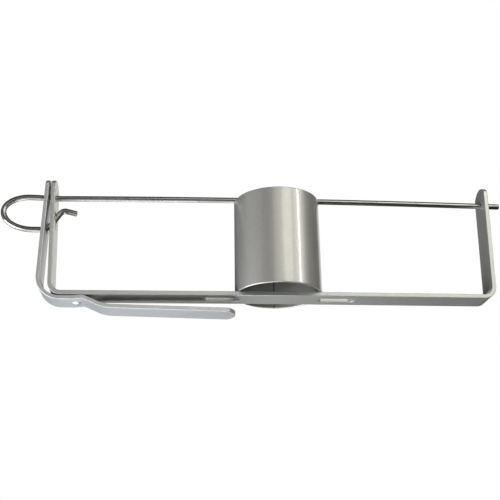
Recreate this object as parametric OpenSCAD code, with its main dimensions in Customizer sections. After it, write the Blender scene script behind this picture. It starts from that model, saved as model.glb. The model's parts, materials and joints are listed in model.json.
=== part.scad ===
// Strip frame with a round tube in the middle, closed by a sprung wire cross pin.
// Z is up from the strip to the pin, X runs along the strip. The origin is on the tube's
// axis, at the middle of the two slots, on the strip's underside.

/* [Flat strip] */
// Width of the strip, of the lever and of the uprights
strip_w = 20; // [18:1:30]
// Thickness of the frame's strip
strip_t = 3; // [2:0.5:4]
// Radius of the arc that every cut end is trimmed to
end_r = 12; // [11:0.5:30]

/* [Frame] */
// From the tube's axis to the inner face of the left upright
left_bay = 155; // [130:1:220]
// From the tube's axis to the inner face of the right upright
right_bay = 150; // [100:1:220]
// Height of the uprights above the strip's underside
upright_h = 87.5; // [74:0.5:120]
// Inner radius of the frame's two bends
bend_r = 6; // [3:0.5:8]
// Outward lean of the uprights, in degrees
upright_lean = 1.7; // [0:0.1:2]

/* [Mounting slots] */
// Width of each slot
slot_w = 8.5; // [5:0.5:10]
// Length of each slot, end to end
slot_len = 25.5; // [12:0.5:30]
// Distance between the centres of the two slots
slot_pitch = 81; // [75:0.5:100]

/* [Centre tube] */
// Outer diameter of the tube
tube_od = 61; // [45:1:80]
// Wall of the tube
tube_wall = 1.5; // [1:0.1:3]
// Height of the tube above the strip
tube_h = 70; // [55:0.5:72]
// Open width of the tube's butt seam
seam_gap = 0.2; // [0.2:0.1:1]
// Leg of the fillet welds between the tube and the strip
weld_leg = 2; // [1:0.5:3]

/* [Cross pin] */
// Diameter of the pin's wire
wire_d = 4; // [2.8:0.1:4.1]
// Radius of the finger loop, to the middle of the wire
loop_r = 12.4; // [11:0.1:15]
// How far the loop's middle stands out from the lever
loop_out = 15; // [14:0.1:25]
// How far the pin's free end stands out of the right upright
tip_out = 11; // [5:0.5:20]
// Height that the latch climbs above the loop's lower leg
latch_rise = 14.6; // [14:0.1:17]
// Slope of the climbing stretch, in degrees
latch_slope = 56; // [50:1:60]
// Slope of the falling tip, in degrees
tip_slope = 14; // [10:1:30]
// Straight length of the falling tip
tip_len = 7.5; // [4:0.5:10]
// Room around the wire in every hole, on each side
hole_room = 0.55; // [0.3:0.05:1]

/* [Lever] */
// Thickness of the lever
lever_t = 2.7; // [2:0.1:3]
// Inner radius of the lever's big bend
lever_bend_r = 14; // [10:0.5:16]
// Gap between the lever and the left upright, at the foot of the upright
lever_gap = 5.4; // [4:0.1:8]
// From the left upright's inner face to the ridge that the lever rocks on
ridge_in = 20; // [18:0.5:30]
// Straight length of the handle, to its cut end
handle_len = 84.5; // [50:0.5:86]
// Slope of the handle, in degrees
handle_slope = 1.4; // [0:0.1:2]
// Full turn of the lever, in degrees
lever_turn = 4; // [2:0.5:4]

/* [Rivet] */
// Diameter of the rivet's shank
rivet_d = 4; // [3:0.5:5]
// Diameter of the rivet's low domed head
rivet_head_d = 6.5; // [6:0.5:7]
// Height of the rivet's head
rivet_head_h = 1.2; // [0.8:0.1:2]
// From the ridge to the rivet
rivet_back = 4; // [3:0.5:5]
// Room around the shank in the frame's hole, on each side
rivet_room = 0.35; // [0.3:0.05:0.6]

/* [Hidden] */
$fn = 96;

ROD_REST = 0.1;      // between the pin and the tube's rim
TIP_GAP = 1.2;       // between the tips of the lever and of the left upright
FOOT_BACK = 0.4;     // from the outside of the lever to the start of the latch's first bend
RIDGE_CLEAR = 0.05;  // between the lever's ridge and the strip
RIVET_FLUSH = 0.2;   // the rivet's end below the strip's top face
WELD_SIDE = 0.5;     // from a weld's end to the slot and to the strip's edge
CUT = 1;             // how far a cutting tool runs past the faces that it cuts
BEND_STEP = 6;       // turn between two stations of a bend, in degrees
WIRE_SIDES = 16;     // sides of the latch's wire

// Lever's run under the strip: bends are [radius, degrees], straights are [length, 0]
RIDGE_R = 5;         // middle radius of the ridge
RIDGE_BACK = 6;      // fall of the lever behind the ridge, in degrees
RIDGE_FRONT = 24;    // fall of the lever in front of the ridge, in degrees
BACK_LEN = 5;        // straight fall behind the ridge
FRONT_LEN = 9.5;     // straight fall in front of the ridge
BACK_R = 10;         // middle radius where the fall behind levels out
FRONT_R = 25;        // middle radius where the fall in front levels out

// Latch bends
FOOT_R = 8;          // middle radius at the foot of the climb
TOP_R = 4;           // middle radius at the top of the climb

rod_z = strip_t + tube_h + ROD_REST + wire_d / 2;
leg_z = rod_z - 2 * loop_r;
hole_d = wire_d + 2 * hole_room;

// Arms of the frame, from the tube's axis to the cut end; the left one is mirrored
bend_mid_r = bend_r + strip_t / 2;
bend_z = strip_t + bend_r;
function arm(bay) = let(
        flat = bay - bend_r,
        foot = bent([flat, strip_t / 2, 0], bend_mid_r, 90 - upright_lean))
    walk([[flat, 0], [bend_mid_r, 90 - upright_lean], [(upright_h - foot[1]) / cos(upright_lean), 0]],
         [0, strip_t / 2, 0]);
left_arm = arm(left_bay);
right_arm = arm(right_bay);
left_foot = left_arm[len(left_arm) - 2];
right_foot = right_arm[len(right_arm) - 2];

// Lever, from its ridge to the handle's end and, mirrored, from its ridge to the upright's end
ridge_x = -(left_bay - ridge_in);
ridge_z = -RIDGE_CLEAR - lever_t / 2;
lever_mid_r = lever_bend_r + lever_t / 2;
lever_face_x = -(left_bay + strip_t + lever_gap);
back_run = (RIDGE_R + BACK_R) * sin(RIDGE_BACK) + BACK_LEN * cos(RIDGE_BACK);
back_steps = [[RIDGE_R, -RIDGE_BACK], [BACK_LEN, 0], [BACK_R, RIDGE_BACK],
              [ridge_x - back_run - lever_face_x - lever_bend_r, 0]];
lever_floor = last(walk(back_steps, [-ridge_x, ridge_z, 0]));
lever_bend_z = lever_floor[1] + lever_mid_r;
lever_lean = atan((lever_gap - TIP_GAP) / (upright_h - lever_bend_z)) - upright_lean;
lever_foot = bent(lever_floor, lever_mid_r, 90 + lever_lean);
lever_back = walk(concat(back_steps, [[lever_mid_r, 90 + lever_lean],
                                      [(upright_h - lever_foot[1]) / cos(lever_lean), 0]]),
                  [-ridge_x, ridge_z, 0]);
lever_front = walk([[RIDGE_R, -RIDGE_FRONT], [FRONT_LEN, 0], [FRONT_R, RIDGE_FRONT - handle_slope],
                    [handle_len, 0]], [ridge_x, ridge_z, 0]);
rock_drop = tan(lever_turn) * (ridge_x - lever_face_x + lever_t);

// Latch path
loop_x = lever_face_x - lever_t - loop_out;
foot_x = lever_face_x - lever_t - FOOT_BACK;
foot_run = FOOT_R * sin(latch_slope);
foot_rise = FOOT_R * (1 - cos(latch_slope));
climb_len = (latch_rise - foot_rise - TOP_R * (1 - cos(latch_slope))) / sin(latch_slope);
latch_path = walk([[FOOT_R, latch_slope], [climb_len, 0], [TOP_R, -latch_slope - tip_slope], [tip_len, 0]],
                  [foot_x, leg_z, 0]);
rod_end_x = right_bay + strip_t + tan(upright_lean) * (rod_z - bend_z) + tip_out;

// Height of the latch's middle line where it passes the distance x
function latch_z(x) = x < foot_x + foot_run
    ? leg_z + FOOT_R - sqrt(FOOT_R * FOOT_R - (x - foot_x) * (x - foot_x))
    : leg_z + foot_rise + (x - foot_x - foot_run) * tan(latch_slope);

// Left upright's faces at the latch, and the window that the latch needs there
latch_face_x = -(left_bay + tan(upright_lean) * (leg_z + latch_rise / 2 - bend_z));
window_low = latch_z(latch_face_x - strip_t) - wire_d / 2 / cos(latch_slope) - hole_room;
window_high = latch_z(latch_face_x) + wire_d / 2 / cos(latch_slope) + hole_room;

// Window that the lower leg needs in the lever, at rest and at full turn
lever_window_low = leg_z - wire_d / 2 - hole_room;
lever_window_high = latch_z(lever_face_x) + wire_d / 2 + 2 * hole_room + rock_drop;

// Station = [x, z, heading in degrees] on the middle line of a bent bar or wire
function ahead(at, run) = [at[0] + run * cos(at[2]), at[1] + run * sin(at[2]), at[2]];
function bent(at, r, turn) = let(
        run = r * sin(abs(turn)),
        rise = sign(turn) * r * (1 - cos(turn)))
    [at[0] + run * cos(at[2]) - rise * sin(at[2]), at[1] + run * sin(at[2]) + rise * cos(at[2]), at[2] + turn];

// Stations along steps: a straight is [length, 0], a bend is [middle radius, degrees]
function walk(steps, at, i = 0) =
    i == len(steps) ? [at]
    : steps[i][1] == 0 ? concat([at], walk(steps, ahead(at, steps[i][0]), i + 1))
    : let(parts = ceil(abs(steps[i][1]) / BEND_STEP)) concat(
        [for (k = [0 : parts - 1]) bent(at, steps[i][0], steps[i][1] * k / parts)],
        walk(steps, bent(at, steps[i][0], steps[i][1]), i + 1));

function last(path) = path[len(path) - 1];
function beside(at, off) = [at[0] - off * sin(at[2]), at[1] + off * cos(at[2])];

// The same path walked from its far end, mirrored left to right about x = 0
function mirrored(path) = [for (i = [len(path) - 1 : -1 : 0]) [-path[i][0], path[i][1], -path[i][2]]];
function joined(first, second) = concat(first, [for (i = [1 : len(second) - 1]) second[i]]);

// Bar of the strip's width whose middle line follows the path
module bent_bar(path, t) {
    edge = concat([for (at = path) beside(at, t / 2)],
                  [for (i = [len(path) - 1 : -1 : 0]) beside(path[i], -t / 2)]);
    rotate([90, 0, 0]) translate([0, 0, -strip_w / 2]) linear_extrude(strip_w) polygon(edge);
}

// Children stand at the station, with +X along the heading and +Z square to the bar
module at_station(at) {
    translate([at[0], 0, at[1]]) rotate([0, -at[2], 0]) children();
}

// What is trimmed off a bar that ends at the origin, to leave its end as an arc
module end_trim(t) {
    translate([0, 0, -t]) linear_extrude(2 * t) difference() {
        translate([-end_r, -strip_w]) square([end_r + CUT, 2 * strip_w]);
        translate([-end_r, 0]) circle(r = end_r);
    }
}

// Slot of the width d from a to b along x, ends included
module obround(a, b, d) {
    translate([a + d / 2, -d / 2]) square([b - a - d, d]);
    for (x = [a + d / 2, b - d / 2]) translate([x, 0]) circle(d = d);
}

// Window through an upright from the height low to the height high
module window(foot, low, high, t) {
    slope = sin(foot[2]);
    at_station(foot) translate([0, 0, -t]) linear_extrude(2 * t)
        obround((low - foot[1]) / slope, (high - foot[1]) / slope, hole_d);
}

module pin_hole(foot) {
    at_station(foot) translate([(rod_z - foot[1]) / sin(foot[2]), 0, -strip_t]) cylinder(d = hole_d, h = 2 * strip_t);
}

module frame_strip() {
    color("silver") difference() {
        bent_bar(joined(mirrored(left_arm), right_arm), strip_t);
        at_station(last(right_arm)) end_trim(strip_t);
        mirror([1, 0, 0]) at_station(last(left_arm)) end_trim(strip_t);
        pin_hole(right_foot);
        mirror([1, 0, 0]) pin_hole(left_foot);
        mirror([1, 0, 0]) window(left_foot, window_low, window_high, strip_t);
        for (side = [-1, 1]) translate([side * slot_pitch / 2, 0, -CUT])
            linear_extrude(strip_t + 2 * CUT) obround(-slot_len / 2, slot_len / 2, slot_w);
        rivet_place() cylinder(d = rivet_d + 2 * rivet_room, h = lever_t + 2 * strip_t);
    }
}

module centre_tube() {
    color("darkgray") translate([0, 0, strip_t]) difference() {
        cylinder(d = tube_od, h = tube_h);
        translate([0, 0, -CUT]) cylinder(d = tube_od - 2 * tube_wall, h = tube_h + 2 * CUT);
        translate([-seam_gap / 2, 0, -CUT]) cube([seam_gap, tube_od, tube_h + 2 * CUT]);
    }
}

// Four short fillets inside the tube, where its wall stands on the strip beside each slot
module tube_welds() {
    bore_r = tube_od / 2 - tube_wall;
    from = asin((slot_w / 2 + WELD_SIDE) / bore_r);
    to = asin((strip_w / 2 - WELD_SIDE) / bore_r);
    color("gray") for (turn = [from, -to, 180 + from, 180 - to])
        translate([0, 0, strip_t]) rotate([0, 0, turn]) rotate_extrude(angle = to - from)
            polygon([[bore_r - weld_leg, 0], [bore_r, 0], [bore_r, weld_leg]]);
}

module lever() {
    color("lightsteelblue") difference() {
        bent_bar(joined(mirrored(lever_back), lever_front), lever_t);
        at_station(last(lever_front)) end_trim(lever_t);
        mirror([1, 0, 0]) {
            at_station(last(lever_back)) end_trim(lever_t);
            window(lever_foot, rod_z - hole_d / 2, rod_z + hole_d / 2 + rock_drop, lever_t);
            window(lever_foot, lever_window_low, lever_window_high, lever_t);
        }
        rivet_place() translate([0, 0, -2 * lever_t]) cylinder(d = rivet_d, h = 4 * lever_t);
    }
}

// Children stand at the middle of the lever's thickness at the rivet, square to the lever
module rivet_place() {
    run = rivet_back - RIDGE_R * sin(RIDGE_BACK);
    drop = RIDGE_R * (1 - cos(RIDGE_BACK)) + run * tan(RIDGE_BACK);
    translate([ridge_x - rivet_back, 0, ridge_z - drop]) rotate([0, -RIDGE_BACK, 0]) children();
}

// Shank through the lever and the frame, with a low domed head under the lever
module lever_rivet() {
    dome_r = (rivet_head_d * rivet_head_d / 4 + rivet_head_h * rivet_head_h) / (2 * rivet_head_h);
    reach = lever_t + strip_t;
    color("silver") difference() {
        rivet_place() union() {
            translate([0, 0, -lever_t / 2]) cylinder(d = rivet_d, h = 2 * reach);
            intersection() {
                translate([0, 0, -lever_t / 2 - rivet_head_h]) cylinder(d = rivet_head_d, h = rivet_head_h);
                translate([0, 0, -lever_t / 2 - rivet_head_h + dome_r]) sphere(r = dome_r);
            }
        }
        translate([ridge_x - 2 * reach, -reach, strip_t - RIVET_FLUSH]) cube([3 * reach, 2 * reach, 2 * reach]);
    }
}

// Straight rod, finger loop and the start of the lower leg
module cross_pin() {
    color("gray") union() {
        translate([loop_x, 0, rod_z]) rotate([0, 90, 0]) cylinder(d = wire_d, h = rod_end_x - loop_x);
        translate([loop_x, 0, rod_z - loop_r]) rotate([90, 0, 0]) rotate([0, 0, 90])
            rotate_extrude(angle = 180) translate([loop_r, 0]) circle(d = wire_d, $fn = 32);
        translate([loop_x, 0, leg_z]) rotate([0, 90, 0]) cylinder(d = wire_d, h = foot_x - loop_x);
    }
}

// Sprung tail of the wire: it climbs through the left upright and hooks over behind it
module pin_latch() {
    rings = len(latch_path);
    points = [for (at = latch_path, k = [0 : WIRE_SIDES - 1]) let(turn = 360 * k / WIRE_SIDES)
        let(place = beside(at, wire_d / 2 * cos(turn))) [place[0], wire_d / 2 * sin(turn), place[1]]];
    walls = [for (i = [0 : rings - 2], k = [0 : WIRE_SIDES - 1]) let(next = (k + 1) % WIRE_SIDES)
        [i * WIRE_SIDES + k, i * WIRE_SIDES + next, (i + 1) * WIRE_SIDES + next, (i + 1) * WIRE_SIDES + k]];
    start = [for (k = [WIRE_SIDES - 1 : -1 : 0]) k];
    end = [for (k = [0 : WIRE_SIDES - 1]) (rings - 1) * WIRE_SIDES + k];
    color("dimgray") polyhedron(points, concat([start], walls, [end]));
}

frame_strip();
centre_tube();
tube_welds();
lever();
lever_rivet();
cross_pin();
pin_latch();
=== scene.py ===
"""Lockout hasp: a bent strip frame with a round tube, a squeeze lever and a sprung wire cross pin.

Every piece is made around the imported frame, in metres: bars are cut as flat blanks and folded,
the tube is rolled from a sheet with a butt seam, and the pin is one wire bent along its path.
"""

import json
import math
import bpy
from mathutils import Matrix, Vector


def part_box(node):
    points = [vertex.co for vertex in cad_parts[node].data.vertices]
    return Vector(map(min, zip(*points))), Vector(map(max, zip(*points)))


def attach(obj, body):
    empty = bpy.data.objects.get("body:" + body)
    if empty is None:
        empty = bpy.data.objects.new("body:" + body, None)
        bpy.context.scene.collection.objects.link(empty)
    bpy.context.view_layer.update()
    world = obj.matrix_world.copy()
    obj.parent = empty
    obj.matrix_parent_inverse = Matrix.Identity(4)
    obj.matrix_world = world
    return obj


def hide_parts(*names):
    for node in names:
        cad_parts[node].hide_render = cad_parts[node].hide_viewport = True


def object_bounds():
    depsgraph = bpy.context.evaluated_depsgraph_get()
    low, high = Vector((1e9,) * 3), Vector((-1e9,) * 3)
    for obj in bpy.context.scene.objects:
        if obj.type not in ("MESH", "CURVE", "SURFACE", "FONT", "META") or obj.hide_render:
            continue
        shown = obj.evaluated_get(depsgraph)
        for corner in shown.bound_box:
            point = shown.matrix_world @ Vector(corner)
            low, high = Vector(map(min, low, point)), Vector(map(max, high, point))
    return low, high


bl_info = {
    "name": "Lockout hasp",
    "version": (1, 0, 0),
    "blender": (4, 5, 0),
    "location": "View3D > Sidebar > Hasp",
    "description": "Makes the painted bars, the rolled tube, the wire pin and the studio of a lockout hasp",
    "category": "Add Mesh",
}

import bmesh
import bpy
from bpy.props import FloatProperty, FloatVectorProperty, IntProperty, PointerProperty
from mathutils import Matrix, Vector

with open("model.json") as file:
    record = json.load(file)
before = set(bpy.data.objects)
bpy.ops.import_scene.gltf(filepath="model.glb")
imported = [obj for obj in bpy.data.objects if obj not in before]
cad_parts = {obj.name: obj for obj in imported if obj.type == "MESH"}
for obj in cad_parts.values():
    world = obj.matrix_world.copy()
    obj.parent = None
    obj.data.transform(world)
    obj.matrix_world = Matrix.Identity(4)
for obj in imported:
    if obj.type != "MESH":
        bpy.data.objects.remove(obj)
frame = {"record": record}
CAD_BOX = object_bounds()

MM = 0.001
TAU = 2 * math.pi


def slot_colour(slot):
    """Base colour that the record gives to a material slot."""
    for material in frame["record"]["materials"]:
        if material["slot"] == slot:
            return tuple(material["base_color"][:3])
    raise RuntimeError(f"the record has no material slot named {slot}")


# ---------------------------------------------------------------- settings

def length(name, description, millimetres):
    return FloatProperty(name=name, description=description, default=millimetres * MM,
                         min=0.0, precision=5, unit="LENGTH", subtype="DISTANCE")


def angle(name, description, degrees):
    return FloatProperty(name=name, description=description, default=math.radians(degrees),
                         unit="ROTATION", subtype="ANGLE")


def colour(name, description, value):
    return FloatVectorProperty(name=name, description=description, default=value,
                               size=3, min=0.0, max=1.0, subtype="COLOR")


class HaspBars(bpy.types.PropertyGroup):
    """Sizes of the two bent bars"""

    strip_t: length("Strip thickness", "Thickness of the frame's bar", 3.0)
    lever_t: length("Lever thickness", "Thickness of the lever's bar", 2.7)
    end_r: length("End radius", "Radius of the arc that each cut end is trimmed to", 12.0)
    edge_r: length("Edge rounding", "Rounding that paint and rolling leave on every edge", 0.4)
    left_bay: length("Left bay", "From the tube's axis to the left upright", 155.0)
    right_bay: length("Right bay", "From the tube's axis to the right upright", 150.0)
    bend_r: length("Bend radius", "Inner radius of the frame's bends", 6.0)
    bow: length("Strip bow", "How far the strip is drawn up in the middle by the welding", 0.45)
    lean: angle("Upright lean", "Outward lean of the frame's uprights", 1.7)
    slot_w: length("Slot width", "Width of each mounting slot", 8.5)
    slot_len: length("Slot length", "Length of each mounting slot", 25.5)
    slot_pitch: length("Slot pitch", "Distance between the slots' centres", 81.0)
    hole_room: length("Hole room", "Room around the wire in every hole", 0.55)
    lever_gap: length("Lever gap", "Gap between the lever and the left upright's foot", 5.4)
    lever_bend_r: length("Lever bend radius", "Inner radius of the lever's big bend", 14.0)
    tip_gap: length("Tip gap", "Gap between the tips of the lever and of the upright", 1.2)
    ridge_in: length("Ridge place", "From the left upright to the lever's ridge", 20.0)
    ridge_clear: length("Ridge clearance", "Between the lever's ridge and the strip", 0.05)
    handle_len: length("Handle length", "Straight length of the handle", 84.5)
    handle_slope: angle("Handle slope", "Downward slope of the handle", 1.4)
    lever_turn: angle("Lever turn", "Full turn of the lever", 4.0)


class HaspTube(bpy.types.PropertyGroup):
    """Sizes of the rolled tube and its welds"""

    wall: length("Wall", "Thickness of the tube's sheet", 1.5)
    seam_gap: length("Seam gap", "Open width of the closed butt seam", 0.04)
    seam_step: length("Seam step", "How far one edge of the seam sits inside the other", 0.35)
    weld_leg: length("Weld leg", "Leg of the fillet welds", 2.0)
    around: IntProperty(name="Steps around", description="Mesh steps around the tube", default=192, min=48)


class HaspPin(bpy.types.PropertyGroup):
    """Sizes of the wire pin"""

    bow: length("Bow", "How far the wire bows up over the tube", 1.3)
    droop: length("Droop", "How far the wire sits low in the uprights' holes", 0.55)
    leg_lift: length("Leg lift", "How far the loop's lower leg sits above its straight line", 0.3)
    crown: length("Crown", "How far the loop's crown stands above the wire in the holes", 0.7)
    crown_run: length("Crown run", "From the loop's outer end back to its crown", 17.5)
    leg_run: length("Leg run", "From the loop's outer end back to the lower leg's straight", 21.0)
    waist: length("Waist", "How far below the loop's crown its outermost point sits", 11.0)
    latch_slope: angle("Latch slope", "Slope of the climbing stretch", 56.0)
    tip_slope: angle("Tip slope", "Slope of the falling tip", 14.0)
    tip_len: length("Tip length", "Straight length of the falling tip", 7.5)
    latch_rise: length("Latch rise", "Height that the latch climbs", 14.6)
    sides: IntProperty(name="Sides", description="Mesh sides around the wire", default=28, min=8)


class HaspLooks(bpy.types.PropertyGroup):
    """Colours of the finishes"""

    frame_paint: colour("Frame paint", "Silver grey metallic paint", slot_colour("frame_paint"))
    tube_paint: colour("Tube paint", "Silver grey metallic paint on the tube", slot_colour("tube_paint"))
    weld_paint: colour("Weld paint", "Paint over the weld beads", slot_colour("weld_paint"))
    lever_paint: colour("Lever paint", "Silver grey metallic paint on the lever", slot_colour("lever_paint"))
    rivet_paint: colour("Rivet paint", "Paint over the rivet", slot_colour("rivet_paint"))
    wire_zinc: colour("Wire", "Drawn zinc-plated wire", slot_colour("wire_zinc"))


class HaspStudio(bpy.types.PropertyGroup):
    """Camera and floor"""

    yaw: angle("Yaw", "Turn of the camera about the vertical", 4.76)
    pitch: angle("Pitch", "Upward tilt of the camera", 21.07)
    roll: angle("Roll", "Roll of the camera", -0.91)
    distance: length("Distance", "From the camera to the point it aims at", 606.5)
    aim_left: length("Aim shift", "How far the aim is left of the object's middle", 4.75)
    aim_low: length("Aim drop", "How far the aim is below the object's middle", 0.7)
    lens: FloatProperty(name="Lens", description="Focal length in millimetres", default=61.5, min=10.0)
    floor_drop: length("Floor drop", "From the object's lowest point to the floor", 490.0)


# ---------------------------------------------------------------- paths

# The lever's ridge, and the straights and bends behind it and in front of it.
RIDGE_R = 5 * MM
RIDGE_BACK = math.radians(6)
RIDGE_FRONT = math.radians(24)
BACK_LEN = 5 * MM
FRONT_LEN = 9.5 * MM
BACK_R = 10 * MM
FRONT_R = 25 * MM
# The latch's two bends, below and above its climb.
FOOT_R = 8 * MM
TOP_R = 4 * MM
FOLD_STEP = math.radians(4)   # turn between two creases of a bend


class Path:
    """Middle line of a bent bar or wire in the XZ plane, made of straights and bends.

    A straight is (length, 0) and a bend is (middle radius, turn), with a positive turn going up.
    """

    def __init__(self, start, steps):
        self.stretches = []
        self.length = 0.0
        at = start
        for size, turn in steps:
            run = size * abs(turn) if turn else size
            self.stretches.append((self.length, run, at, size, turn))
            at = self._along(at, size, turn, run)
            self.length += run
        self.end = at

    @staticmethod
    def _along(at, size, turn, run):
        x, z, heading = at
        if not turn:
            return (x + run * math.cos(heading), z + run * math.sin(heading), heading)
        part = run / size
        ahead = size * math.sin(part)
        rise = math.copysign(size * (1 - math.cos(part)), turn)
        return (x + ahead * math.cos(heading) - rise * math.sin(heading),
                z + ahead * math.sin(heading) + rise * math.cos(heading),
                heading + math.copysign(part, turn))

    def place(self, s):
        """Station (x, z, heading) at the distance s from the start."""
        for begin, run, at, size, turn in self.stretches:
            if s <= begin + run or (begin, run) == self.stretches[-1][:2]:
                return self._along(at, size, turn, s - begin)

    def folds(self):
        """Distances at which the bar is creased finely enough to look bent."""
        marks = []
        for begin, run, _at, _size, turn in self.stretches:
            if turn:
                parts = max(2, math.ceil(abs(turn) / FOLD_STEP))
                marks += [begin + run * k / parts for k in range(parts + 1)]
        return marks

    def foot(self):
        """Distance and station of the start of the last stretch."""
        begin, _run, at, _size, _turn = self.stretches[-1]
        return begin, at


def bar_sizes():
    """Everything that both bars share, worked out from the frame and the settings."""
    bars = bpy.context.scene.hasp_bars
    strip_low, strip_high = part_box("frame_strip")
    pin_low, pin_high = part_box("cross_pin")
    wire_d = pin_high.y - pin_low.y
    return {
        "width": strip_high.y - strip_low.y,
        "upright_h": strip_high.z,
        "wire_d": wire_d,
        "hole_d": wire_d + 2 * bars.hole_room,
        "rod_z": pin_high.z - wire_d / 2,
        "leg_z": pin_low.z + wire_d / 2,
        "ridge_x": -(bars.left_bay - bars.ridge_in),
        "ridge_z": -bars.ridge_clear - bars.lever_t / 2,
        "lever_face_x": -(bars.left_bay + bars.strip_t + bars.lever_gap),
    }


def frame_arm(bay, sizes):
    """Path of one arm of the frame, from the tube's axis to the upright's cut end."""
    bars = bpy.context.scene.hasp_bars
    middle_r = bars.bend_r + bars.strip_t / 2
    turn = math.pi / 2 - bars.lean
    start = (0.0, bars.strip_t / 2, 0.0)
    foot = Path(start, [(bay - bars.bend_r, 0), (middle_r, turn)]).end
    rise = (sizes["upright_h"] - foot[1]) / math.cos(bars.lean)
    return Path(start, [(bay - bars.bend_r, 0), (middle_r, turn), (rise, 0)])


def lever_paths(sizes):
    """Paths of the lever from its ridge: forwards to the handle's end, and backwards, mirrored."""
    bars = bpy.context.scene.hasp_bars
    middle_r = bars.lever_bend_r + bars.lever_t / 2
    run = (RIDGE_R + BACK_R) * math.sin(RIDGE_BACK) + BACK_LEN * math.cos(RIDGE_BACK)
    level = sizes["ridge_x"] - run - sizes["lever_face_x"] - bars.lever_bend_r
    start = (-sizes["ridge_x"], sizes["ridge_z"], 0.0)
    back = [(RIDGE_R, -RIDGE_BACK), (BACK_LEN, 0), (BACK_R, RIDGE_BACK), (level, 0)]
    bend_z = Path(start, back).end[1] + middle_r
    lean = math.atan((bars.lever_gap - bars.tip_gap) / (sizes["upright_h"] - bend_z)) - bars.lean
    back.append((middle_r, math.pi / 2 + lean))
    foot = Path(start, back).end
    back.append(((sizes["upright_h"] - foot[1]) / math.cos(lean), 0))
    front = [(RIDGE_R, -RIDGE_FRONT), (FRONT_LEN, 0),
             (FRONT_R, RIDGE_FRONT - bars.handle_slope), (bars.handle_len, 0)]
    return Path((sizes["ridge_x"], sizes["ridge_z"], 0.0), front), Path(start, back)


def strip_lift(x):
    """Height by which the welded strip is bowed up at x."""
    bars = bpy.context.scene.hasp_bars
    bay = bars.right_bay if x > 0 else bars.left_bay
    return bars.bow * max(0.0, 1 - (x / bay) ** 2)


def along_upright(path, z):
    """Distance along a path at which its last, upright stretch reaches the height z."""
    begin, at = path.foot()
    return begin + (z - at[1]) / math.sin(at[2])


def latch_start():
    """X of the point where the latch leaves the lower leg of the loop."""
    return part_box("pin_latch")[0].x


def latch_height(x, sizes):
    """Height of the latch's middle line where it passes x."""
    pin = bpy.context.scene.hasp_pin
    run = x - latch_start()
    foot_run = FOOT_R * math.sin(pin.latch_slope)
    if run < foot_run:
        return sizes["leg_z"] + FOOT_R - math.sqrt(FOOT_R ** 2 - run ** 2)
    foot_rise = FOOT_R * (1 - math.cos(pin.latch_slope))
    return sizes["leg_z"] + foot_rise + (run - foot_run) * math.tan(pin.latch_slope)


# ---------------------------------------------------------------- meshes

ROUND_STEPS = 40      # mesh steps around a round hole
SLOT_END_STEPS = 18   # mesh steps around each end of a slot
BAR_END_STEPS = 24    # mesh steps along each cut end of a bar
EDGE_STEPS = 2        # mesh steps across a rounded edge
NO_LENGTH = 0.001 * MM   # a slot longer than it is wide by less than this is a round hole
MERGE = 0.002 * MM    # points of a blank that are closer than this are one
ON_FOLD = 0.0001 * MM  # points this close to a crease count as on it
FLAT = 0.97           # a point whose normal is nearer to an axis than this lies on a flat face
CHAMFER = 0.09        # chamfer of a wire's cut end, as a share of its diameter
EVEN_WEIGHT = 80      # how strongly large faces lead the shading

def new_object(name, mesh):
    piece = bpy.data.objects.new(name, mesh)
    bpy.context.scene.collection.objects.link(piece)
    return piece


def arc_points(cx, cy, r, begin, end, steps):
    return [(cx + r * math.cos(begin + (end - begin) * k / steps),
             cy + r * math.sin(begin + (end - begin) * k / steps)) for k in range(steps + 1)]


def obround(a, b, d):
    """Outline of a slot of the width d from a to b along x."""
    r = d / 2
    if b - a - d < NO_LENGTH:
        return arc_points((a + b) / 2, 0, r, 0, TAU, ROUND_STEPS)[:-1]
    return (arc_points(b - r, 0, r, -math.pi / 2, math.pi / 2, SLOT_END_STEPS)
            + arc_points(a + r, 0, r, math.pi / 2, 3 * math.pi / 2, SLOT_END_STEPS))


def blank_outline(left, right, width, end_r):
    """Outline of a flat blank from left to right, both ends trimmed to an arc."""
    half = math.asin(width / 2 / end_r)
    return (arc_points(right - end_r, 0, end_r, -half, half, BAR_END_STEPS)
            + arc_points(left + end_r, 0, end_r, math.pi - half, math.pi + half, BAR_END_STEPS))


def flat_blank(name, loops, thickness, edge_r):
    """Flat plate in the XY plane with every edge and hole rounded over by edge_r."""
    sheet = bpy.data.curves.new(name, "CURVE")
    sheet.dimensions = "2D"
    sheet.fill_mode = "BOTH"
    sheet.extrude = thickness / 2 - edge_r
    sheet.bevel_depth = edge_r
    sheet.bevel_resolution = EDGE_STEPS
    sheet.offset = -edge_r
    for loop in loops:
        spline = sheet.splines.new("POLY")
        spline.points.add(len(loop) - 1)
        for point, (x, y) in zip(spline.points, loop):
            point.co = (x, y, 0, 1)
        spline.use_cyclic_u = True
    cutter = new_object(name + "_blank", sheet)
    bpy.context.view_layer.update()
    graph = bpy.context.evaluated_depsgraph_get()
    mesh = bpy.data.meshes.new_from_object(cutter.evaluated_get(graph))
    bpy.data.objects.remove(cutter)
    bpy.data.curves.remove(sheet)
    mesh.name = name
    return mesh


def crease(bm, marks):
    """Cuts a flat blank across at each mark along x, so that it can bend there."""
    for mark in marks:
        everything = bm.verts[:] + bm.edges[:] + bm.faces[:]
        bmesh.ops.bisect_plane(bm, geom=everything, dist=ON_FOLD,
                               plane_co=(mark, 0, 0), plane_no=(1, 0, 0))


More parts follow.
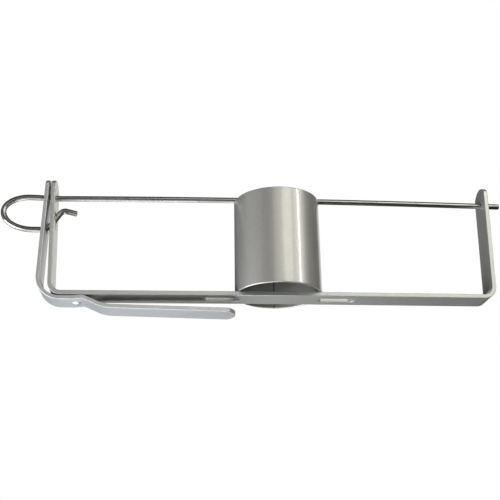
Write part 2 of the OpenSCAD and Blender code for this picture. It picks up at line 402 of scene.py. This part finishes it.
def folded_bar(name, loops, thickness, right, left):
    """Blank folded so that x > 0 follows the path right and x < 0 follows the mirrored path left."""
    edge_r = bpy.context.scene.hasp_bars.edge_r
    mesh = flat_blank(name, loops, thickness, edge_r)
    bm = bmesh.new()
    bm.from_mesh(mesh)
    bmesh.ops.remove_doubles(bm, verts=bm.verts, dist=MERGE)
    crease(bm, [0.0] + right.folds() + [-mark for mark in left.folds()])
    bm.normal_update()
    # Marks the rounded edges, which the paint draws lighter in patches: a painted edge highlight.
    edge = bm.verts.layers.float.new("edge")
    for vert in bm.verts:
        steepest = max(abs(vert.normal.x), abs(vert.normal.y), abs(vert.normal.z))
        vert[edge] = 1.0 if steepest < FLAT else 0.0
        path, side = (right, 1) if vert.co.x >= 0 else (left, -1)
        x, z, heading = path.place(abs(vert.co.x))
        off = vert.co.z
        vert.co = (side * (x - off * math.sin(heading)), vert.co.y, z + off * math.cos(heading))
    bmesh.ops.recalc_face_normals(bm, faces=bm.faces)
    return finish_mesh(name, mesh, bm)


def finish_mesh(name, mesh, bm):
    """Object made from the mesh, smooth, with its flat faces shaded flat."""
    for face in bm.faces:
        face.smooth = True
    bm.to_mesh(mesh)
    bm.free()
    piece = new_object(name, mesh)
    weighted = piece.modifiers.new("Even shading", "WEIGHTED_NORMAL")
    weighted.mode = "FACE_AREA"
    weighted.weight = EVEN_WEIGHT
    return piece


def grid_faces(bm, rings):
    """Faces between neighbouring closed rings of vertices."""
    count = len(rings[0])
    for here, there in zip(rings, rings[1:]):
        for k in range(count):
            after = (k + 1) % count
            bm.faces.new((here[k], here[after], there[after], there[k]))


def bent_wire(name, stations, diameter, sides):
    """Round wire along stations (x, z, heading), with both ends cut flat and lightly chamfered."""
    bm = bmesh.new()
    chamfer = diameter * CHAMFER
    first, final = stations[0], stations[-1]
    spots = [(first, 1 - 2 * chamfer / diameter)]
    spots += [(slid(first, chamfer), 1.0)] + [(at, 1.0) for at in stations[1:-1]]
    spots += [(slid(final, -chamfer), 1.0), (final, 1 - 2 * chamfer / diameter)]
    rings = []
    for (x, z, heading), scale in spots:
        r = diameter / 2 * scale
        ring = []
        for k in range(sides):
            side = r * math.cos(TAU * k / sides)
            ring.append(bm.verts.new((x - side * math.sin(heading), r * math.sin(TAU * k / sides),
                                      z + side * math.cos(heading))))
        rings.append(ring)
    grid_faces(bm, rings)
    bm.faces.new(rings[0][::-1])
    bm.faces.new(rings[-1])
    bmesh.ops.recalc_face_normals(bm, faces=bm.faces)
    return finish_mesh(name, bpy.data.meshes.new(name), bm)


def slid(at, run):
    """Station moved on by run in its own direction."""
    return (at[0] + run * math.cos(at[2]), at[1] + run * math.sin(at[2]), at[2])


def headed(line):
    """Stations (x, z, heading) along a line of points (x, z)."""
    stations = []
    for k, (x, z) in enumerate(line):
        before, after = line[max(0, k - 1)], line[min(len(line) - 1, k + 1)]
        stations.append((x, z, math.atan2(after[1] - before[1], after[0] - before[0])))
    return stations


def lathe(name, profile, steps, place):
    """Solid turned from a profile of (radius, height) that starts and ends on the axis."""
    bm = bmesh.new()
    low = bm.verts.new((0, 0, profile[0][1]))
    high = bm.verts.new((0, 0, profile[-1][1]))
    rings = [[bm.verts.new((r * math.cos(TAU * k / steps), r * math.sin(TAU * k / steps), z))
              for k in range(steps)] for r, z in profile[1:-1]]
    grid_faces(bm, rings)
    for k in range(steps):
        after = (k + 1) % steps
        bm.faces.new((low, rings[0][after], rings[0][k]))
        bm.faces.new((high, rings[-1][k], rings[-1][after]))
    bmesh.ops.transform(bm, matrix=place, verts=bm.verts)
    bmesh.ops.recalc_face_normals(bm, faces=bm.faces)
    return finish_mesh(name, bpy.data.meshes.new(name), bm)


def check_box(piece, *nodes, spare=0.6 * MM):
    """Stops the script if a piece has left the space of the nodes that it stands for."""
    corners = [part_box(node) for node in nodes]
    low = [min(pair[0][i] for pair in corners) - spare for i in range(3)]
    high = [max(pair[1][i] for pair in corners) + spare for i in range(3)]
    for vert in piece.data.vertices:
        if any(not low[i] <= vert.co[i] <= high[i] for i in range(3)):
            raise RuntimeError(f"{piece.name} leaves the space of {', '.join(nodes)} at {tuple(vert.co)}")


# ---------------------------------------------------------------- finishes

class Nodes:
    """Short hand for building a material's node tree."""

    def __init__(self, name):
        self.material = bpy.data.materials.new(name)
        self.material.use_nodes = True
        self.tree = self.material.node_tree
        self.shader = self.tree.nodes["Principled BSDF"]
        self.place = self.add("ShaderNodeTexCoord").outputs["Object"]

    def add(self, kind, **settings):
        node = self.tree.nodes.new(kind)
        for key, value in settings.items():
            setattr(node, key, value)
        return node

    def link(self, out, into):
        self.tree.links.new(out, into)

    def noise(self, scale, detail=2.0, stretch=None):
        node = self.add("ShaderNodeTexNoise")
        node.inputs["Scale"].default_value = scale
        node.inputs["Detail"].default_value = detail
        source = self.place
        if stretch:
            mapping = self.add("ShaderNodeMapping")
            mapping.inputs["Scale"].default_value = stretch
            self.link(self.place, mapping.inputs["Vector"])
            source = mapping.outputs["Vector"]
        self.link(source, node.inputs["Vector"])
        return node.outputs["Fac"]

    def cells(self, scale):
        node = self.add("ShaderNodeTexVoronoi")
        node.inputs["Scale"].default_value = scale
        self.link(self.place, node.inputs["Vector"])
        return node

    def spread(self, value, low, high, from_low=0.0, from_high=1.0):
        node = self.add("ShaderNodeMapRange")
        node.inputs["From Min"].default_value = from_low
        node.inputs["From Max"].default_value = from_high
        node.inputs["To Min"].default_value = low
        node.inputs["To Max"].default_value = high
        self.link(value, node.inputs["Value"])
        return node.outputs["Result"]

    def times(self, first, second):
        node = self.add("ShaderNodeMath", operation="MULTIPLY")
        self.link(first, node.inputs[0])
        self.link(second, node.inputs[1])
        return node.outputs[0]

    def mix(self, factor, first, second):
        node = self.add("ShaderNodeMix", data_type="RGBA")
        self.link(factor, node.inputs["Factor"])
        for socket, value in ((node.inputs[6], first), (node.inputs[7], second)):
            if isinstance(value, bpy.types.NodeSocket):
                self.link(value, socket)
            else:
                socket.default_value = (*value, 1.0)
        return node.outputs[2]

    def bump(self, height, distance, strength=1.0, under=None):
        node = self.add("ShaderNodeBump")
        node.inputs["Distance"].default_value = distance
        node.inputs["Strength"].default_value = strength
        self.link(height, node.inputs["Height"])
        if under:
            self.link(under, node.inputs["Normal"])
        return node.outputs["Normal"]


def scaled(tint, factor):
    return tuple(min(1.0, channel * factor) for channel in tint)


# Paint, in spots or waves per metre, and the depth of its relief.
FLAKES = 1500.0
CLOUDS = 28.0
SPECKS = 75.0
DUSTY = 55.0
# Patches of lighter paint on the rounded edges, a painted edge highlight, per metre.
EDGE_HIGHLIGHT_PATCHES = 260.0
DULLNESS = 120.0
PEEL = 420.0
PEEL_DEPTH = 0.03 * MM
FLAKE_DEPTH = 0.01 * MM
PAINT_METAL = 0.55
COAT_ROUGHNESS = 0.10

# Wire, in the same units.
DRAWN_LINES = 700.0
LINE_STRETCH = (0.01, 1.0, 1.0)
PATCHES = 40.0
PITS = 250.0
DENTS = 90.0
DENT_DEPTH = 0.004 * MM


def silver_paint(name, tint, gloss=0.5):
    """Sprayed metallic paint: fine flake, orange peel, a few dust specks, and rounded edges painted lighter
    in patches, a painted edge highlight.
    """
    n = Nodes(name)
    flake = n.cells(FLAKES)
    tone = n.mix(flake.outputs["Color"], scaled(tint, 0.87), scaled(tint, 1.15))
    cloud = n.mix(n.noise(CLOUDS, 3.0), scaled(tint, 0.93), scaled(tint, 1.05))
    base = n.add("ShaderNodeMix", data_type="RGBA")
    base.inputs["Factor"].default_value = 0.5
    n.link(tone, base.inputs[6])
    n.link(cloud, base.inputs[7])
    dust = n.cells(SPECKS)
    rare = n.spread(n.noise(DUSTY, 1.0), 0.0, 1.0, 0.60, 0.66)
    dot = n.spread(dust.outputs["Distance"], 1.0, 0.0, 0.035, 0.055)
    specked = n.mix(n.times(rare, dot), base.outputs[2], scaled(tint, 0.25))
    # Rounded edges are painted lighter in noisy patches: a painted highlight along the edges.
    edge = n.add("ShaderNodeAttribute", attribute_name="edge")
    painted_edge_highlight = n.times(edge.outputs["Fac"], n.spread(n.noise(EDGE_HIGHLIGHT_PATCHES, 3.0), 0.0, 0.55, 0.45, 0.7))
    n.link(n.mix(painted_edge_highlight, specked, scaled(tint, 1.35)), n.shader.inputs["Base Color"])
    n.link(n.spread(n.noise(DULLNESS, 4.0), 0.36, 0.46), n.shader.inputs["Roughness"])
    peel = n.bump(n.noise(PEEL, 1.5), PEEL_DEPTH, 0.6)
    grain = n.bump(flake.outputs["Color"], FLAKE_DEPTH, 0.35, under=peel)
    n.link(grain, n.shader.inputs["Normal"])
    n.link(peel, n.shader.inputs["Coat Normal"])
    n.shader.inputs["Metallic"].default_value = PAINT_METAL
    n.shader.inputs["Coat Weight"].default_value = gloss
    n.shader.inputs["Coat Roughness"].default_value = COAT_ROUGHNESS
    return n.material


def zinc_wire(name, tint):
    """Drawn wire: faint lines along its length, dull patches and a few small pits."""
    n = Nodes(name)
    drawn = n.noise(DRAWN_LINES, 1.0, stretch=LINE_STRETCH)
    patch = n.noise(PATCHES, 1.0)
    shade = n.mix(drawn, tint, scaled(tint, 1.22))
    dull = n.mix(n.spread(patch, 0.0, 0.5, 0.50, 0.75), shade, scaled(tint, 0.80))
    pit = n.spread(n.noise(PITS, 0.0), 0.0, 0.35, 0.74, 0.80)
    n.link(n.mix(pit, dull, scaled(tint, 0.35)), n.shader.inputs["Base Color"])
    n.link(n.spread(patch, 0.27, 0.35, 0.3, 0.7), n.shader.inputs["Roughness"])
    n.link(n.bump(n.noise(DENTS, 0.0), DENT_DEPTH, 0.3), n.shader.inputs["Normal"])
    n.shader.inputs["Metallic"].default_value = 1.0
    return n.material


def finish(piece, body, nodes, material):
    """Gives a piece its finish, sets it on its body and lets it stand for its nodes."""
    piece.data.materials.clear()
    piece.data.materials.append(material)
    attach(piece, body)
    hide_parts(*nodes)


# ---------------------------------------------------------------- pieces

class HASP_OT_frame(bpy.types.Operator):
    """Folds the frame from one flat blank with its slots and holes"""

    bl_idname = "hasp.frame"
    bl_label = "Frame strip"

    def execute(self, context):
        bars = context.scene.hasp_bars
        sizes = bar_sizes()
        right, left = frame_arm(bars.right_bay, sizes), frame_arm(bars.left_bay, sizes)
        hole = sizes["hole_d"]
        loops = [blank_outline(-left.length, right.length, sizes["width"], bars.end_r)]
        for side in (-1, 1):
            middle = side * bars.slot_pitch / 2
            loops.append(obround(middle - bars.slot_len / 2, middle + bars.slot_len / 2, bars.slot_w))
        for path, side in ((right, 1), (left, -1)):
            at = side * along_upright(path, sizes["rod_z"])
            loops.append(obround(at - hole / 2, at + hole / 2, hole))
        loops.append(self.window(left, sizes))
        piece = folded_bar("frame_bar", loops, bars.strip_t, right, left)
        for vert in piece.data.vertices:
            vert.co.z += strip_lift(vert.co.x)
        check_box(piece, "frame_strip")
        looks = context.scene.hasp_looks
        finish(piece, "frame", ["frame_strip"], silver_paint("frame_paint", looks.frame_paint))
        return {"FINISHED"}

    @staticmethod
    def window(left, sizes):
        """Window that the latch climbs through, in the left upright."""
        bars = bpy.context.scene.hasp_bars
        pin = bpy.context.scene.hasp_pin
        middle_z = sizes["leg_z"] + pin.latch_rise / 2
        face_x = -(bars.left_bay + math.tan(bars.lean) * (middle_z - bars.strip_t - bars.bend_r))
        spare = sizes["wire_d"] / 2 / math.cos(pin.latch_slope) + bars.hole_room
        low = latch_height(face_x - bars.strip_t, sizes) - spare
        high = latch_height(face_x, sizes) + spare
        return obround(-along_upright(left, high), -along_upright(left, low), sizes["hole_d"])


class HASP_OT_lever(bpy.types.Operator):
    """Folds the lever with its upright, ridge and handle"""

    bl_idname = "hasp.lever"
    bl_label = "Lever"

    def execute(self, context):
        bars = context.scene.hasp_bars
        sizes = bar_sizes()
        front, back = lever_paths(sizes)
        hole = sizes["hole_d"]
        drop = math.tan(bars.lever_turn) * (sizes["ridge_x"] - sizes["lever_face_x"] + bars.lever_t)
        low = sizes["leg_z"] - sizes["wire_d"] / 2 - bars.hole_room
        high = latch_height(sizes["lever_face_x"], sizes) + sizes["wire_d"] / 2 + 2 * bars.hole_room + drop
        loops = [blank_outline(-back.length, front.length, sizes["width"], bars.end_r)]
        for bottom, top in ((sizes["rod_z"] - hole / 2, sizes["rod_z"] + hole / 2 + drop), (low, high)):
            loops.append(obround(-along_upright(back, top), -along_upright(back, bottom), hole))
        shifted_front = shifted(front, -sizes["ridge_x"])
        shifted_back = shifted(back, sizes["ridge_x"])
        piece = folded_bar("lever_bar", loops, bars.lever_t, shifted_front, shifted_back)
        piece.data.transform(Matrix.Translation((sizes["ridge_x"], 0, 0)))
        check_box(piece, "lever")
        looks = context.scene.hasp_looks
        finish(piece, "lever_body", ["lever"], silver_paint("lever_paint", looks.lever_paint))
        return {"FINISHED"}


def shifted(path, dx):
    """The same path moved along X."""
    x, z, heading = path.stretches[0][2]
    return Path((x + dx, z, heading), [(size, turn) for _begin, _run, _at, size, turn in path.stretches])


class HASP_OT_rivet(bpy.types.Operator):
    """Turns the rivet with its low domed head"""

    bl_idname = "hasp.rivet"
    bl_label = "Rivet"

    BACK = 4.0 * MM       # from the ridge back to the rivet's axis
    HEAD_H = 1.2 * MM
    SHANK_R = 2.0 * MM
    CHAMFER = 0.25 * MM
    END_ROOM = 0.3 * MM   # how far the shank's end stays inside its box
    RIM = 0.985           # the head's seat is this much narrower than its widest ring
    DOME_STEPS = 10
    DOME_POWER = 1.4
    STEPS = 48

    def execute(self, context):
        bars = context.scene.hasp_bars
        sizes = bar_sizes()
        low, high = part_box("lever_rivet")
        head_r = (high.y - low.y) / 2
        run = self.BACK - RIDGE_R * math.sin(RIDGE_BACK)
        drop = RIDGE_R * (1 - math.cos(RIDGE_BACK)) + run * math.tan(RIDGE_BACK)
        seat = -bars.lever_t / 2
        top = (high.z - sizes["ridge_z"] + drop) / math.cos(RIDGE_BACK) - self.END_ROOM
        dome = [(head_r * math.sin(a), seat - self.HEAD_H * math.cos(a) ** self.DOME_POWER)
                for a in (math.pi / 2 * k / self.DOME_STEPS for k in range(self.DOME_STEPS + 1))]
        dome[0] = (0.0, seat - self.HEAD_H)
        shank = [(self.SHANK_R, seat), (self.SHANK_R, top - self.CHAMFER),
                 (self.SHANK_R - self.CHAMFER, top), (0.0, top)]
        profile = dome + [(head_r * self.RIM, seat)] + shank
        place = (Matrix.Translation((sizes["ridge_x"] - self.BACK, 0, sizes["ridge_z"] - drop))
                 @ Matrix.Rotation(-RIDGE_BACK, 4, "Y"))
        piece = lathe("rivet", profile, self.STEPS, place)
        check_box(piece, "lever_rivet")
        looks = context.scene.hasp_looks
        paint = silver_paint("rivet_paint", looks.rivet_paint)
        finish(piece, "lever_body", ["lever_rivet"], paint)
        return {"FINISHED"}


class HASP_OT_tube(bpy.types.Operator):
    """Rolls the tube from sheet, with a stepped butt seam at the back"""

    bl_idname = "hasp.tube"
    bl_label = "Centre tube"

    RIM_STEPS = 5
    WALL_STEPS = 10
    SEAM_REACH = math.radians(24)
    FAR_SHARE = 0.3       # how flat the seam's far edge is, beside the near one
    RIM_ROUND = 0.42      # rounding of each rim's edges, as a share of the wall
    TUBE_GLOSS = 0.75

    def execute(self, context):
        tube = context.scene.hasp_tube
        low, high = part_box("centre_tube")
        outer = (high.x - low.x) / 2
        section = self.section(outer, tube.wall, low.z, high.z)
        gap = tube.seam_gap / outer
        bm = bmesh.new()
        rings = []
        for k in range(tube.around + 1):
            part = k / tube.around
            turn = math.pi / 2 + gap / 2 + (TAU - gap) * part
            inset = self.inset(part * TAU, tube.seam_step)
            rings.append([bm.verts.new(((r - inset) * math.cos(turn), (r - inset) * math.sin(turn), z))
                          for r, z in section])
        grid_faces(bm, rings)
        bm.faces.new(rings[0][::-1])
        bm.faces.new(rings[-1])
        bmesh.ops.recalc_face_normals(bm, faces=bm.faces)
        piece = finish_mesh("rolled_tube", bpy.data.meshes.new("rolled_tube"), bm)
        piece.data.transform(Matrix.Translation((0, 0, strip_lift(0))))
        check_box(piece, "centre_tube")
        looks = context.scene.hasp_looks
        finish(piece, "frame", ["centre_tube"],
               silver_paint("tube_paint", looks.tube_paint, gloss=self.TUBE_GLOSS))
        return {"FINISHED"}

    def section(self, outer, wall, bottom, top):
        """Closed section of the wall, (radius, height), with both rims rounded over."""
        r = wall * self.RIM_ROUND
        corners = ((outer - r, top - r, 0.0), (outer - wall + r, top - r, math.pi / 2),
                   (outer - wall + r, bottom + r, math.pi), (outer - r, bottom + r, 3 * math.pi / 2))
        points = []
        for x, z, begin in corners:
            points += arc_points(x, z, r, begin, begin + math.pi / 2, self.RIM_STEPS)
        height = top - bottom
        levels = [height * k / self.WALL_STEPS for k in range(1, self.WALL_STEPS)]
        inner = [(outer - wall, top - level) for level in levels]
        outside = [(outer, bottom + level) for level in levels]
        half = 2 * (self.RIM_STEPS + 1)
        return points[:half] + inner + points[half:] + outside

    def inset(self, turned, step):
        """Inward shift: rolling leaves both edges of the seam flatter, and one deeper than the other."""
        near = max(0.0, 1 - turned / self.SEAM_REACH)
        far = max(0.0, 1 - (TAU - turned) / self.SEAM_REACH)
        return step * (near ** 2 + self.FAR_SHARE * far ** 2)


class HASP_OT_welds(bpy.types.Operator):
    """Lays the four short rippled weld beads inside the tube"""

    bl_idname = "hasp.welds"
    bl_label = "Welds"

    STEPS = 26
    RIPPLES = 7
    END_ROOM = 0.5 * MM
    RIPPLE = 0.14         # how deep a ripple is, as a share of the leg
    END_SIZE = 0.35       # size of the bead at its very ends, as a share of its full size
    END_GROWTH = 5        # how fast the bead grows from its ends
    FACE_STEPS = 6
    FACE_POWER = 0.8
    WELD_GLOSS = 0.3

    def execute(self, context):
        bars, tube = context.scene.hasp_bars, context.scene.hasp_tube
        low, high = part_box("centre_tube")
        bore = (high.x - low.x) / 2 - tube.wall
        begin = math.asin((bars.slot_w / 2 + self.END_ROOM) / bore)
        end = math.asin((bar_sizes()["width"] / 2 - self.END_ROOM) / bore)
        bm = bmesh.new()
        for start in (begin, -end, math.pi + begin, math.pi - end):
            self.bead(bm, bore, low.z, start, end - begin, tube.weld_leg)
        bmesh.ops.recalc_face_normals(bm, faces=bm.faces)
        piece = finish_mesh("weld_beads", bpy.data.meshes.new("weld_beads"), bm)
        piece.data.transform(Matrix.Translation((0, 0, strip_lift(0))))
        check_box(piece, "tube_welds")
        looks = context.scene.hasp_looks
        paint = silver_paint("weld_paint", looks.weld_paint, gloss=self.WELD_GLOSS)
        finish(piece, "frame", ["tube_welds"], paint)
        return {"FINISHED"}

    def bead(self, bm, bore, floor, start, sweep, leg):
        rings = []
        for k in range(self.STEPS + 1):
            part = k / self.STEPS
            turn = start + sweep * part
            ends = min(1.0, self.END_GROWTH * min(part, 1 - part) + self.END_SIZE)
            ripple = self.RIPPLE * abs(math.sin(math.pi * self.RIPPLES * part))
            swell = leg * ends * (1 - self.RIPPLE + ripple)
            face = [(bore - swell * math.cos(a) ** self.FACE_POWER, swell * math.sin(a) ** self.FACE_POWER)
                    for a in (math.pi / 2 * j / self.FACE_STEPS for j in range(self.FACE_STEPS + 1))]
            ring = [(bore, 0.0)] + face
            rings.append([bm.verts.new((r * math.cos(turn), r * math.sin(turn), floor + z)) for r, z in ring])
        grid_faces(bm, rings)
        bm.faces.new(rings[0][::-1])
        bm.faces.new(rings[-1])


class HASP_OT_pin(bpy.types.Operator):
    """Bends the cross pin, its finger loop and its latch from one wire"""

    bl_idname = "hasp.pin"
    bl_label = "Cross pin"

    ROD_STEPS = 60
    LOOP_STEPS = 24
    SPARE = 2.5 * MM      # how far the bowed wire may stand out of its straight box

    def execute(self, context):
        pin = context.scene.hasp_pin
        sizes = bar_sizes()
        low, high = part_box("cross_pin")
        hole_z = sizes["rod_z"] - pin.droop
        outer_x = low.x + sizes["wire_d"] / 2
        line = self.rod(high.x, outer_x, hole_z) + self.loop(outer_x, hole_z + pin.crown, sizes)
        stations = headed(line) + self.latch(sizes)
        piece = bent_wire("pin_wire", stations, sizes["wire_d"], pin.sides)
        check_box(piece, "cross_pin", "pin_latch", spare=self.SPARE)
        looks = context.scene.hasp_looks
        finish(piece, "pin", ["cross_pin", "pin_latch"], zinc_wire("wire_zinc", looks.wire_zinc))
        return {"FINISHED"}

    def rod(self, tip_x, outer_x, hole_z):
        """From the free end to the loop's crown, bowed up over the tube's rim between the uprights."""
        pin = bpy.context.scene.hasp_pin
        reach = bpy.context.scene.hasp_bars.left_bay
        crown_x = outer_x + pin.crown_run
        line = []
        for k in range(self.ROD_STEPS + 1):
            x = tip_x + (crown_x - tip_x) * k / self.ROD_STEPS
            rise = pin.bow * (1 - (x / reach) ** 2)
            if x < -reach:
                out = (x + reach) / (crown_x + reach)
                leaving = 2 * pin.bow / reach * (x + reach) * (1 - out) ** 2
                rise = leaving + pin.crown * out * out * (3 - 2 * out)
            line.append((x, hole_z + rise))
        return line

    def loop(self, outer_x, crown_z, sizes):
        """Two quarter ellipses: from the crown to the outermost point, and on to the lower leg."""
        pin = bpy.context.scene.hasp_pin
        waist_z = crown_z - pin.waist
        depth = waist_z - sizes["leg_z"] - pin.leg_lift
        line = []
        for k in range(1, 2 * self.LOOP_STEPS + 1):
            turn = math.pi / 2 * k / self.LOOP_STEPS
            run, rise = (pin.crown_run, pin.waist) if k <= self.LOOP_STEPS else (pin.leg_run, depth)
            line.append((outer_x + run * (1 - math.sin(turn)), waist_z + rise * math.cos(turn)))
        return line

    def latch(self, sizes):
        """From the lower leg through the climb and over to the falling tip."""
        pin = bpy.context.scene.hasp_pin
        foot_rise = FOOT_R * (1 - math.cos(pin.latch_slope))
        top_rise = TOP_R * (1 - math.cos(pin.latch_slope))
        climb = (pin.latch_rise - pin.leg_lift - foot_rise - top_rise) / math.sin(pin.latch_slope)
        path = Path((latch_start(), sizes["leg_z"] + pin.leg_lift, 0.0),
                    [(FOOT_R, pin.latch_slope), (climb, 0), (TOP_R, -pin.latch_slope - pin.tip_slope),
                     (pin.tip_len, 0)])
        marks = sorted(set([0.0] + path.folds() + [path.length]))
        return [path.place(mark) for mark in marks]


# ---------------------------------------------------------------- studio

# Soft panels, bright low on the left and at the back, and narrow and bright at the front right:
# name, direction from the object, distance, width, height, watts, colour and shape.
PANELS = (
    ("front", (0.00, -1.00, 0.38), 1.3, 0.60, 0.8, 1.45, (1.0, 1.0, 0.95), "ELLIPSE"),
    ("front_right", (0.40, -0.95, 0.45), 1.3, 0.50, 1.0, 4.1, (1.0, 0.99, 0.91), "ELLIPSE"),
    ("right_strip", (0.81, -0.58, 0.40), 1.2, 0.07, 0.9, 4.9, (1.0, 1.0, 0.96), "RECTANGLE"),
    ("left", (-1.00, -0.35, 0.48), 1.3, 1.2, 0.9, 0.8, (1.0, 1.0, 0.96), "ELLIPSE"),
    ("back", (0.42, 1.00, 0.38), 1.5, 1.2, 0.9, 3.4, (1.0, 1.0, 0.97), "RECTANGLE"),
    ("overhead", (0.00, -0.03, 1.00), 1.3, 1.0, 1.0, 0.3, (1.0, 1.0, 1.0), "ELLIPSE"),
    ("low_left", (-0.60, -0.15, -0.30), 0.7, 0.6, 0.4, 5.7, (0.95, 0.975, 1.0), "RECTANGLE"),
    ("low", (-0.10, 0.235, -0.459), 0.525, 0.27, 0.53, 1.5, (0.96, 0.98, 1.0), "RECTANGLE"),
    ("low_wide", (-0.235, 0.0, -0.439), 0.498, 0.5, 0.8, 1.9, (0.95, 0.975, 1.0), "RECTANGLE"),
)
LEVEL_PANELS = ("low", "low_wide")   # lie level and shine straight up
SHINING_UP = (math.pi, 0.0, 0.0)
ROOM = (0.043, 0.043, 0.042, 1.0)
WHITE = (1.0, 1.0, 1.0, 1.0)
FLOOR_HALF = 15.0                    # half the floor's side, in metres
FLOOR_TONES = ((0.28, 0.28, 0.28), (0.32, 0.32, 0.32))
FLOOR_CLOUDS = 1.5                   # clouds in the floor's tone per metre
FLOOR_ROUGHNESS = 0.9
FLOOR_GLOW = 0.74
NEAR_CLIP = 0.01                     # nearest distance that the camera sees, in metres

class HASP_OT_studio(bpy.types.Operator):
    """Sets the floor, the soft lights and the camera"""

    bl_idname = "hasp.studio"
    bl_label = "Studio"

    def execute(self, context):
        low, high = (Vector(corner) for corner in CAD_BOX)
        middle = (low + high) / 2
        self.floor(context, low.z)
        self.surroundings(context)
        self.lights(middle)
        self.camera(context, middle)
        context.scene.view_settings.view_transform = "Standard"
        return {"FINISHED"}

    def floor(self, context, bottom):
        """Pale floor that the camera sees, and that gives the object neither light nor reflections."""
        bm = bmesh.new()
        bmesh.ops.create_grid(bm, x_segments=2, y_segments=2, size=FLOOR_HALF)
        mesh = bpy.data.meshes.new("floor")
        bm.to_mesh(mesh)
        bm.free()
        floor = new_object("floor", mesh)
        floor.location.z = bottom - context.scene.hasp_studio.floor_drop
        n = Nodes("floor")
        n.link(n.mix(n.noise(FLOOR_CLOUDS), *FLOOR_TONES), n.shader.inputs["Base Color"])
        n.shader.inputs["Roughness"].default_value = FLOOR_ROUGHNESS
        n.shader.inputs["Emission Color"].default_value = WHITE
        n.shader.inputs["Emission Strength"].default_value = FLOOR_GLOW
        mesh.materials.append(n.material)
        floor.visible_diffuse = False
        floor.visible_glossy = False

    def surroundings(self, context):
        """White behind the object for the camera, and an almost dark room for everything else."""
        world = bpy.data.worlds.new("studio")
        world.use_nodes = True
        context.scene.world = world
        tree = world.node_tree
        tree.nodes.clear()
        room = tree.nodes.new("ShaderNodeBackground")
        room.inputs["Color"].default_value = ROOM
        white = tree.nodes.new("ShaderNodeBackground")
        white.inputs["Color"].default_value = WHITE
        seen = tree.nodes.new("ShaderNodeLightPath")
        choose = tree.nodes.new("ShaderNodeMixShader")
        tree.links.new(seen.outputs["Is Camera Ray"], choose.inputs["Fac"])
        tree.links.new(room.outputs[0], choose.inputs[1])
        tree.links.new(white.outputs[0], choose.inputs[2])
        out = tree.nodes.new("ShaderNodeOutputWorld")
        tree.links.new(choose.outputs[0], out.inputs["Surface"])

    def lights(self, middle):
        """Soft panels around the middle of the object."""
        for name, toward, distance, width, height, watts, tint, shape in PANELS:
            data = bpy.data.lights.new(name, "AREA")
            data.shape = shape
            data.size = width
            data.size_y = height
            data.energy = watts
            data.color = tint
            panel = new_object(name, data)
            away = Vector(toward).normalized()
            panel.location = middle + away * distance
            panel.rotation_euler = away.to_track_quat("Z", "Y").to_euler()
            if name in LEVEL_PANELS:
                panel.rotation_euler = SHINING_UP

    def camera(self, context, middle):
        studio = context.scene.hasp_studio
        ahead = Vector((math.sin(studio.yaw) * math.cos(studio.pitch),
                        math.cos(studio.yaw) * math.cos(studio.pitch), math.sin(studio.pitch)))
        across = Vector((math.cos(studio.yaw), -math.sin(studio.yaw), 0.0))
        up = across.cross(ahead)
        rolled = across * math.cos(studio.roll) + up * math.sin(studio.roll)
        upright = up * math.cos(studio.roll) - across * math.sin(studio.roll)
        aim = Vector((middle.x - studio.aim_left, 0.0, middle.z - studio.aim_low))
        data = bpy.data.cameras.new("camera")
        data.lens = studio.lens
        data.clip_start = NEAR_CLIP
        camera = new_object("camera", data)
        turn = Matrix((rolled, upright, -ahead)).transposed().to_4x4()
        camera.matrix_world = Matrix.Translation(aim - ahead * studio.distance) @ turn
        context.scene.camera = camera


class HASP_PT_panel(bpy.types.Panel):
    """Lists the pieces of the hasp and their sizes"""

    bl_idname = "HASP_PT_panel"
    bl_label = "Lockout hasp"
    bl_space_type = "VIEW_3D"
    bl_region_type = "UI"
    bl_category = "Hasp"

    def draw(self, context):
        for operator in OPERATORS:
            self.layout.operator(operator.bl_idname)
        for name in GROUPS:
            box = self.layout.box()
            group = getattr(context.scene, name)
            for key in group.bl_rna.properties.keys():
                if key not in {"rna_type", "name"}:
                    box.prop(group, key)


OPERATORS = (HASP_OT_frame, HASP_OT_lever, HASP_OT_rivet, HASP_OT_tube, HASP_OT_welds, HASP_OT_pin,
             HASP_OT_studio)
GROUPS = {"hasp_bars": HaspBars, "hasp_tube": HaspTube, "hasp_pin": HaspPin, "hasp_looks": HaspLooks,
          "hasp_studio": HaspStudio}


def register():
    for kind in (*GROUPS.values(), *OPERATORS, HASP_PT_panel):
        bpy.utils.register_class(kind)
    for name, kind in GROUPS.items():
        setattr(bpy.types.Scene, name, PointerProperty(type=kind))


def unregister():
    for name in GROUPS:
        delattr(bpy.types.Scene, name)
    for kind in (HASP_PT_panel, *reversed(OPERATORS), *reversed(GROUPS.values())):
        bpy.utils.unregister_class(kind)


def main():
    register()
    bpy.ops.hasp.frame()
    bpy.ops.hasp.lever()
    bpy.ops.hasp.rivet()
    bpy.ops.hasp.tube()
    bpy.ops.hasp.welds()
    bpy.ops.hasp.pin()
    bpy.ops.hasp.studio()


if __name__ == "__main__":
    main()
